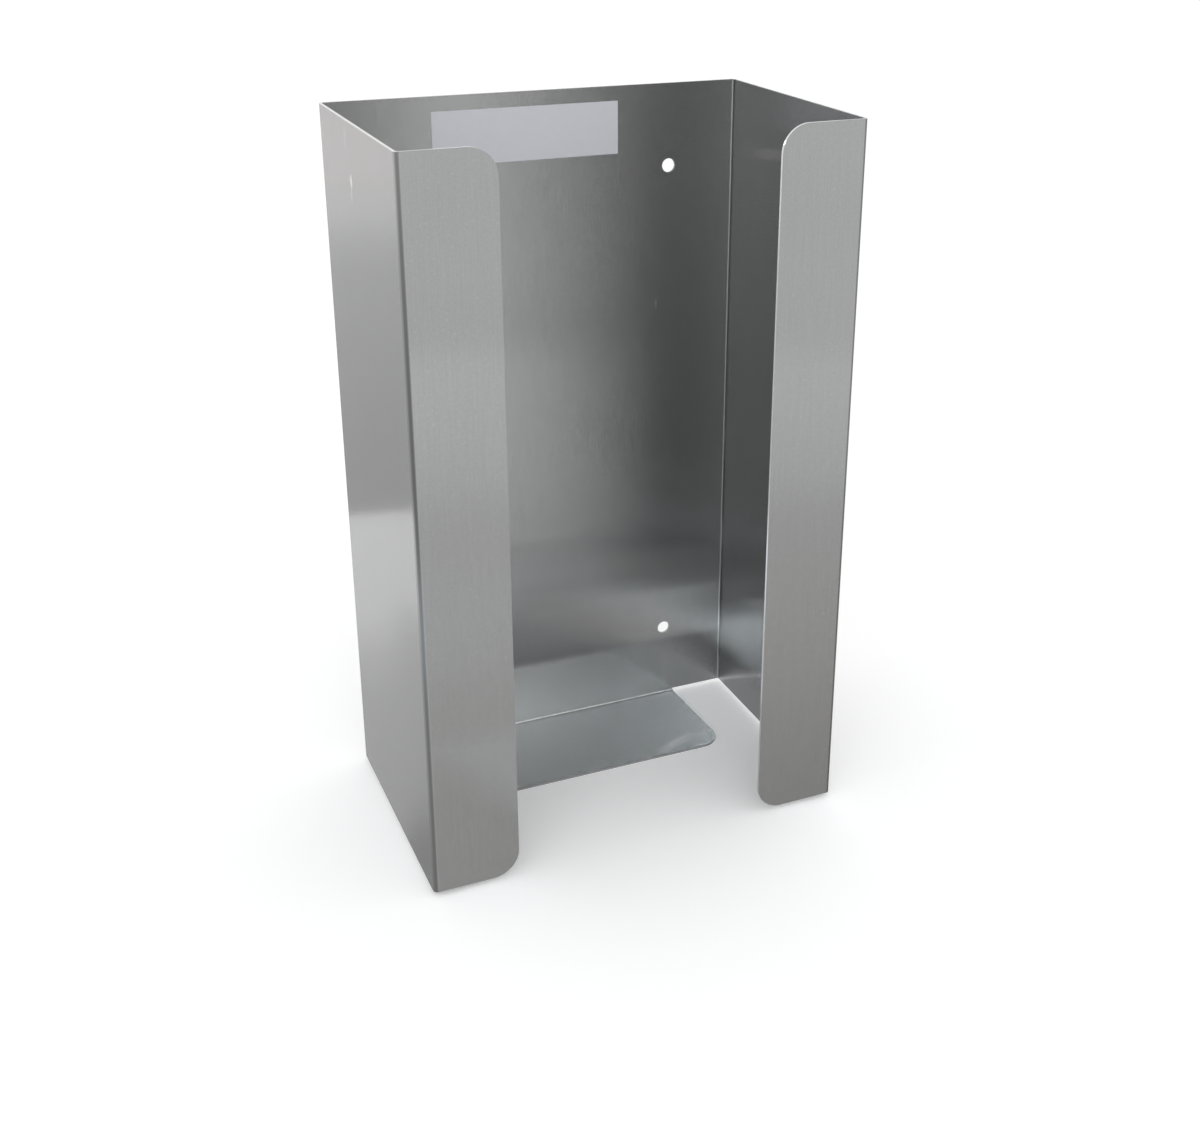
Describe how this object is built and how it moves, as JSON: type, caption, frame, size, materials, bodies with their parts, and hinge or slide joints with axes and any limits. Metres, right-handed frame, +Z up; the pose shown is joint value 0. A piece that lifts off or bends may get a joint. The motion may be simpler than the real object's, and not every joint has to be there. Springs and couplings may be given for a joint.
{
  "type": "disposable glove dispenser",
  "caption": "Wall-mounted folded stainless holder for a carton of disposable gloves, open at the top and front, with return flanges and a bottom tab.",
  "frame": {"origin": "centre of the wall-hole rectangle, on the rear face", "axes": "+Y into the wall, +Z up, the open front faces -Y"},
  "size_m": [0.156, 0.096, 0.2557],
  "materials": {
    "brushed_stainless": "fine brushed grain along the height",
    "label_film": "blank satin film"
  },
  "bodies": {
    "root": {"dispenser_body": "brushed_stainless", "blank_label": "label_film"}
  },
  "joints": []
}
